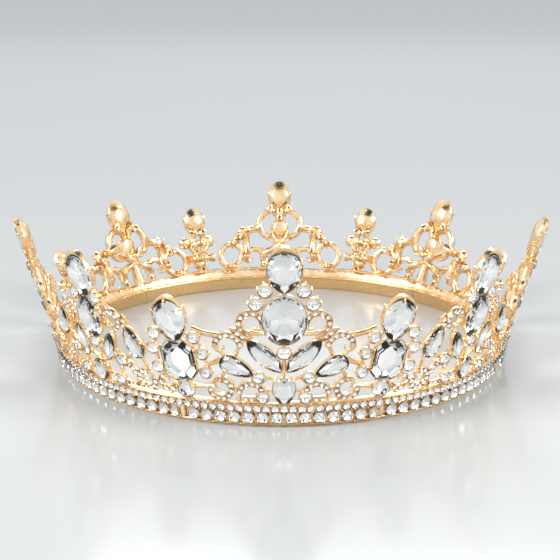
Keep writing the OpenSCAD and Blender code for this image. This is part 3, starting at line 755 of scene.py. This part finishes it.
def flatWork(design, angle, rise, size):
    # scrolls, curls and struts of one motif, drawn flat and bent round the shell
    band, wires, struts = [], [], []
    sunk = shell["scrollSunk"]
    edges = settingPlaces(design, rise, size)
    keeps = [side for side in (1, -1) if side * tips.get(angle, side) > 0]
    for u, v, r, start, turn, width, count, curlR, curlTurn in design["scrolls"]:
        cu, cv = placeU(u, size, design["edge"]), placeV(v, rise)
        r, curlR = r * size, curlR * size
        for side in keeps:
            flip = lambda path: [(x * side, y, s) for x, y, s in path]
            share = size ** 0.5 * width / bandWide
            band += clipped(flip(arcPath(cu, cv, r, start, turn, share, share)), edges)
            if curlR:
                # the wire runs on from the band's end, turning in
                end = start + turn if curlTurn > 0 else start
                x = cu + (r - curlR) * math.cos(math.radians(end))
                y = cv + (r - curlR) * math.sin(math.radians(end))
                run = arcPath(cu, cv, r, end - math.copysign(14, curlTurn), math.copysign(14, curlTurn), 1.35, 1.3)
                wires.append(flip(run[:-1] + arcPath(x, y, curlR, end, curlTurn, 1.3, 0.35)))
            for i in range(count):
                a = math.radians(start + turn * (i + 0.5) / count)
                spot = (side * (cu + r * math.cos(a)), cv + r * math.sin(a))
                if not any(holds(edge, *spot) for edge in edges):
                    smallStones.append((angle, *spot))
    for x0, y0, x1, y1, width, *held in design["bars"]:
        a, b = placeU(x0, size, design["edge"]), placeU(x1, size, design["edge"])
        c = placeV(y0, rise) if y0 > 8.5 else y0
        d = placeV(y1, rise) if y1 > 8.5 else y1
        share = width / 1.2
        path = [(a + (b - a) * t, c + (d - c) * t, share * (1 - 0.28 * math.sin(math.pi * t)))
                for t in [i / 20 for i in range(21)]]
        for side in (keeps if held else (1, -1) if x0 or x1 else (1,)):
            struts += clipped([(side * x, y, s) for x, y, s in path], edges)
    for u, v, turn, w, h in design["leaves"]:
        t, h = math.radians(turn), h * size
        for side in keeps:
            cu, cv = placeU(u, size, design["edge"]), placeV(v, rise)
            band.append([(side * (cu - math.sin(t) * h * along), cv + math.cos(t) * h * along, w * size / bandWide * share)
                         for along, share in bladeShares])
            for along in (-0.85, 0.85):
                smallStones.append((angle, side * (cu - math.sin(t) * along), cv + math.cos(t) * along))
    made = []
    cast = design["cast"]
    work = ((band, grooveSection(bandWide, 1.35), sunk), (wires, roundSection(1.0 * cast, 1.1 * cast), sunk),
            (struts, roundSection(1.2 * cast, 1.3 * cast), sunk - 0.2))
    for paths, section, sink in work:
        if not paths:
            continue
        obj = sweep(paths, section)
        obj.data.transform(Matrix.Translation((0, 0, sink)))
        wrap(obj, angle)
        made.append(obj)
    return made


def footBar(angle, half):
    # the curved bar that joins a motif to the rail's top
    v = shell["railHigh"]
    section = ((-0.1, -0.85), (-0.1, 0.1), (0.45, 0.12), (0.62, -0.05), (0.62, -0.7), (0.45, -0.85))
    return spinProfile([railProfile(v + up, n) for up, n in section], angle, half, 14)


def railProfile(v, n):
    return castR + v * railSin + n * railCos, v * railCos - n * railSin


def spinProfile(corners, angle, half, steps):
    # turns a section round the crown's axis, closed at both ends
    bpy.ops.mesh.primitive_circle_add(vertices=len(corners), radius=1, fill_type="NGON")
    obj = bpy.context.object
    first = math.radians(angle - half)
    setCoords(obj.data, [(r * math.sin(first) * mm, -r * math.cos(first) * mm, z * mm) for r, z in corners])
    editAll(obj)
    bpy.ops.mesh.spin(steps=steps, angle=math.radians(2 * half), center=(0, 0, 0), axis=(0, 0, 1))
    bpy.ops.mesh.select_all(action="SELECT")
    bpy.ops.mesh.remove_doubles(threshold=1e-7)
    bpy.ops.mesh.normals_make_consistent(inside=False)
    objectMode()
    bpy.ops.object.shade_smooth_by_angle(angle=math.radians(35))
    return obj


def motif(name, angle, design, rise, size):
    pieces = flatWork(design, angle, rise, size)
    pieces.append(footBar(angle, design["foot"]))
    for (kind, shape, u, v, turn, w, h, depth, claws), side in settings(design):
        w, h = w * size, h * size
        cu, cv = side * placeU(u, size, design["edge"]), placeV(v, rise)
        spot = shellMatrix(angle, cu, cv, lifts.get(kind, 0), turn, side < 0)
        pieces.append(copyOf(cupFor(shape, w, h, depth, hoods.get(kind, 0)), spot))
        for direction in claws:
            t = direction / 360
            x, y = outline(shape, w, h, t)
            x2, y2 = outline(shape, w, h, t + 0.01)
            out = math.atan2(-(x2 - x), y2 - y)
            grip = 1.25 if w > 7 else 0.85 if w > 3 else 0.65
            beside = Matrix.Translation((x + 0.3 * math.cos(out), y + 0.3 * math.sin(out), 0))
            stand = beside @ Matrix.Rotation(out, 4, "Z") @ Matrix.Scale(grip, 4)
            pieces.append(copyOf(bigClaw, spot @ stand))
    return joinAll(pieces, name, [castGold])


def fit(piece, node):
    # every piece stands for one node of the frame and rides on its only body
    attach(piece, "root")
    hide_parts(node)


print("motifs")
for node, angle, kindOf, rise, size in motifs:
    fit(motif(node + "_casting", angle, kindOf, rise, size), node)

rail = {
    "lowCount": 14,  # stones to a section
    "lowSize": 3.5,
    "highCount": 23,
    "highSize": 2.1,
    "floor": -0.62,
    "lip": 0.35,
    "room": 0.04,
    "postTurn": 0.9,  # degrees
    "halfTurn": 22.45,
}
lowV = 1.02 + rail["lowSize"] / 2 + rail["room"]
highV = shell["railHigh"] - 0.35 - rail["highSize"] / 2 - rail["room"]


def lowAngle(i):
    return (i + 0.5 - rail["lowCount"] / 2) * (45 - 1.2) / rail["lowCount"]


def highAngle(i):
    return (i + 0.5 - rail["highCount"] / 2) * 45 / rail["highCount"]


def railMatrix(angle, v, n=0.0):
    r, z = railProfile(v, n)
    lean = math.radians(shell["railLean"])
    stand = Matrix.Translation((0, -r, z)) @ Matrix.Rotation(math.pi / 2 + lean, 4, "X")
    return Matrix.Scale(mm, 4) @ Matrix.Rotation(math.radians(angle), 4, "Z") @ stand


bpy.ops.mesh.primitive_uv_sphere_add(segments=8, ring_count=5, radius=0.3)
beadObject = bpy.context.object
editAll(beadObject)
bpy.ops.transform.resize(value=(1, 1, 1.25))
objectMode()
bpy.ops.object.shade_smooth()
bead = takeMesh(beadObject, "bead")


def railSection(name, angle):
    lowA, lowB = lowV - rail["lowSize"] / 2 - rail["room"], lowV + rail["lowSize"] / 2 + rail["room"]
    highA, highB = highV - rail["highSize"] / 2 - rail["room"], highV + rail["highSize"] / 2 + rail["room"]
    lip, floor, v, half = rail["lip"], rail["floor"], shell["railHigh"], rail["halfTurn"]
    # up the outside, through the two channels, and back down to the strip
    face = [(lowA - 0.1, lip), (lowA, lip - 0.12), (lowA, floor), (lowB, floor), (lowB, lip - 0.12), (lowB + 0.08, lip),
            (highA - 0.06, lip), (highA, lip - 0.1), (highA, floor), (highB, floor), (highB, lip - 0.1),
            (highB + 0.08, lip), (v - 0.08, lip), (v, lip - 0.12), (v, -0.65), (v - 0.18, -0.8)]
    corners = [(stripR, 0.1), (stripR + 0.1, 0), (castR + lip - 0.12, 0), (castR + lip, 0.12)]
    corners += [railProfile(*place) for place in face] + [(stripR, shell["stripHigh"] + 0.1)]
    pieces = [spinProfile(corners, angle, half, 28)]
    post = [(lowA - 0.05, floor - 0.1), (lowB + 0.05, floor - 0.1), (lowB + 0.05, lip - 0.05), (lowV, lip + 0.12),
            (lowA - 0.05, lip - 0.05)]
    halfPost = rail["postTurn"] / 2
    for end in (-1, 1):
        pieces.append(spinProfile([railProfile(*place) for place in post], angle + end * (half - halfPost), halfPost, 2))
    for i in range(rail["lowCount"] - 1):
        for v, grow in ((lowA - 0.12, 1.15), (lowB + 0.12, 1.1)):
            pieces.append(copyOf(bead, railMatrix(angle + lowAngle(i + 0.5), v, lip + 0.1) @ Matrix.Scale(grow, 4)))
    for i in range(rail["highCount"] - 1):
        for v in (highA + 0.1, highB - 0.05):
            pieces.append(copyOf(bead, railMatrix(angle + highAngle(i + 0.5), v, lip + 0.1) @ Matrix.Scale(0.85, 4)))
    for i in range(11):
        # the cast back above the strip is uneven
        wide, high = 1.0 + 0.35 * math.sin(2.3 * i + angle), 1.0 + 0.3 * math.sin(4.1 * i + 2 * angle)
        lump = Matrix.Diagonal((5.6 * wide, 2.2 * high, 1.1, 1.0))
        spot = railMatrix(angle - 20.2 + 4.05 * i, 6.25 + 0.15 * math.sin(3 * i), -0.78)
        pieces.append(copyOf(bead, spot @ lump))
    return joinAll(pieces, name, [castGold])


sections = ["front", "front_right", "right", "back_right", "back", "back_left", "left", "front_left"]
for i, side in enumerate(sections):
    fit(railSection("stone_rail_" + side + "_casting", 45 * i), "stone_rail_" + side)

strip = {"gap": 0.16, "corner": 0.22}
for i, side in enumerate(("front", "right", "back", "left")):
    c, top = strip["corner"], shell["stripHigh"]
    outer = [(headR, c), (headR + c, 0), (stripR - c, 0), (stripR, c), (stripR, top - c), (stripR - 0.08, top - 0.07)]
    inner = [(stripR - c, top), (headR + c, top), (headR + 0.08, top - 0.07), (headR, top - c)]
    line = [(headR, top - 0.62), (headR + 0.14, top - 0.7), (headR, top - 0.82)]
    half = 45 - math.degrees(strip["gap"] / 2 / headR)
    rolled = spinProfile(outer + inner + line, 90 * i, half, 60)
    fit(joinAll([rolled], "inner_strip_" + side + "_rolled", [satinGold]), "inner_strip_" + side)
print("rail and strip")

stoneNodes = {
    "peak": "peak_pear_stones", "oval": "oval_stones", "octagon": "octagon_stones", "marquise": "marquise_stones",
    "side": "side_pear_stones", "drop": "drop_pear_stones", "short": "short_pear_stones", "large": "large_round_stones",
    "round": "medium_round_stones",
}
placed = {kind: [] for kind in stoneNodes}
for node, angle, kindOf, rise, size in motifs:
    for (kind, shape, u, v, turn, w, h, depth, claws), side in settings(kindOf):
        cu, cv = side * placeU(u, size, kindOf["edge"]), placeV(v, rise)
        spot = shellMatrix(angle, cu, cv, lifts.get(kind, 0) + 0.06, turn, side < 0)
        placed[kind].append(copyOf(stoneFor(shape, w * size, h * size, depth), spot))
for kind, objs in placed.items():
    fit(joinAll(objs, stoneNodes[kind] + "_cut", [cutGlass, foil]), stoneNodes[kind])

rowStones = {
    "lower_row_stones": (rail["lowCount"], lowAngle, lowV, roundStone("low", rail["lowSize"], 0.98, 0.82)),
    "upper_row_stones": (rail["highCount"], highAngle, highV, roundStone("high", rail["highSize"], 0.72, 0.62, 8)),
}
for name, (count, angleAt, v, mesh) in rowStones.items():
    objs = [copyOf(mesh, railMatrix(45 * s + angleAt(i), v, 0.4)) for s in range(8) for i in range(count)]
    fit(joinAll(objs, name + "_cut", [cutGlass, foil]), name)

small = tinyStone("small", 1.3, 0.4, 0.34)
objs = [copyOf(small, shellMatrix(angle, u, v, shell["scrollSunk"] + 0.02)) for angle, u, v in smallStones]
fit(joinAll(objs, "pave_stones_cut", [cutGlass, foil]), "pave_stones")

pads = frame["nodes"]["solder_joints"].data
pads.materials.clear()
pads.materials.append(solderGold)

studio = {"far": 398.75, "up": 18.40, "lens": 76.6, "side": 0.55, "shiftX": -0.0027, "shiftY": 0.115}
camera = bpy.data.cameras.new("camera")
camera.lens = studio["lens"]
camera.sensor_width = 36
camera.shift_x, camera.shift_y = studio["shiftX"], studio["shiftY"]
camera.clip_start = 0.01
eye = bpy.data.objects.new("camera", camera)
bpy.context.collection.objects.link(eye)
tilt = math.radians(studio["up"])
side = math.radians(studio["side"])
out = studio["far"] * mm * math.cos(tilt)
eye.location = (-out * math.sin(side), -out * math.cos(side), studio["far"] * mm * math.sin(tilt))
eye.rotation_euler = (math.pi / 2 - tilt, 0, -side)
bpy.context.scene.camera = eye

bpy.ops.mesh.primitive_grid_add(x_subdivisions=8, y_subdivisions=8, size=6)
floor = bpy.context.object
floor.name = "studioFloor"
whiteAcrylic, tree, shader = newMaterial("whiteAcrylicSheet")
place = addNode(tree, "ShaderNodeTexCoord")
apart = addNode(tree, "ShaderNodeSeparateXYZ", [(place.outputs["Object"], "Vector")])
fade = addNode(tree, "ShaderNodeMapRange", [(apart.outputs["Y"], "Value")])
fade.inputs["From Min"].default_value = -0.14
fade.inputs["From Max"].default_value = 1.2
floorShadeRamp = addNode(tree, "ShaderNodeValToRGB", [(fade.outputs["Result"], "Fac")])
# painted light and shade on the white floor: paler near the crown, greyer towards the horizon
floorPaintedShade = ((0.0, "#B2B5B5"), (0.05, "#B9BCBC"), (0.093, "#B7BABB"), (0.144, "#A2A6A7"), (0.284, "#9DA1A3"),
              (0.515, "#9CA1A3"), (0.896, "#A0A5A7"))
setRamp(floorShadeRamp, [(place, linear(code)) for place, code in floorPaintedShade])
tree.links.new(floorShadeRamp.outputs["Color"], shader.inputs["Base Color"])
shader.inputs["Roughness"].default_value = 0.16
shader.inputs["IOR"].default_value = 1.4
floor.data.materials.append(whiteAcrylic)

world = bpy.data.worlds.new("studio")
bpy.context.scene.world = world
world.use_nodes = True
tree = world.node_tree
background = tree.nodes["Background"]
place = addNode(tree, "ShaderNodeTexCoord")
apart = addNode(tree, "ShaderNodeSeparateXYZ", [(place.outputs["Generated"], "Vector")])
skyRamp = addNode(tree, "ShaderNodeValToRGB", [(apart.outputs["Z"], "Fac")])
# a white tent with a grey horizon and a dark opening overhead
skyTones = ((0.0, "#DFE3E5"), (0.04, "#CFD3D5"), (0.1, "#CED2D4"), (0.24, "#FFFFFF"), (0.86, "#FFFFFE"),
            (0.92, "#B4B4B4"), (0.96, "#585858"), (1.0, "#363636"))
setRamp(skyRamp, [(place, linear(code)) for place, code in skyTones])
tree.links.new(skyRamp.outputs["Color"], background.inputs["Color"])
background.inputs["Strength"].default_value = 1.0

softBoxes = (
    ("keyBox", (-1.5, -0.6, 1.2), 0.8, 28),
    ("fillBox", (1.5, -0.5, 1.1), 0.8, 22),
    ("backBox", (0.1, 1.1, 1.0), 0.8, 8),
)
for name, spot, size, power in softBoxes:
    lamp = bpy.data.lights.new(name, "AREA")
    lamp.shape = "RECTANGLE"
    lamp.size, lamp.size_y = size, size * 0.7
    lamp.energy = power
    box = bpy.data.objects.new(name, lamp)
    bpy.context.collection.objects.link(box)
    box.location = spot
    box.rotation_euler = (Vector((0, 0, 0.02)) - Vector(spot)).to_track_quat("-Z", "Y").to_euler()
bpy.context.scene.view_settings.view_transform = "Standard"
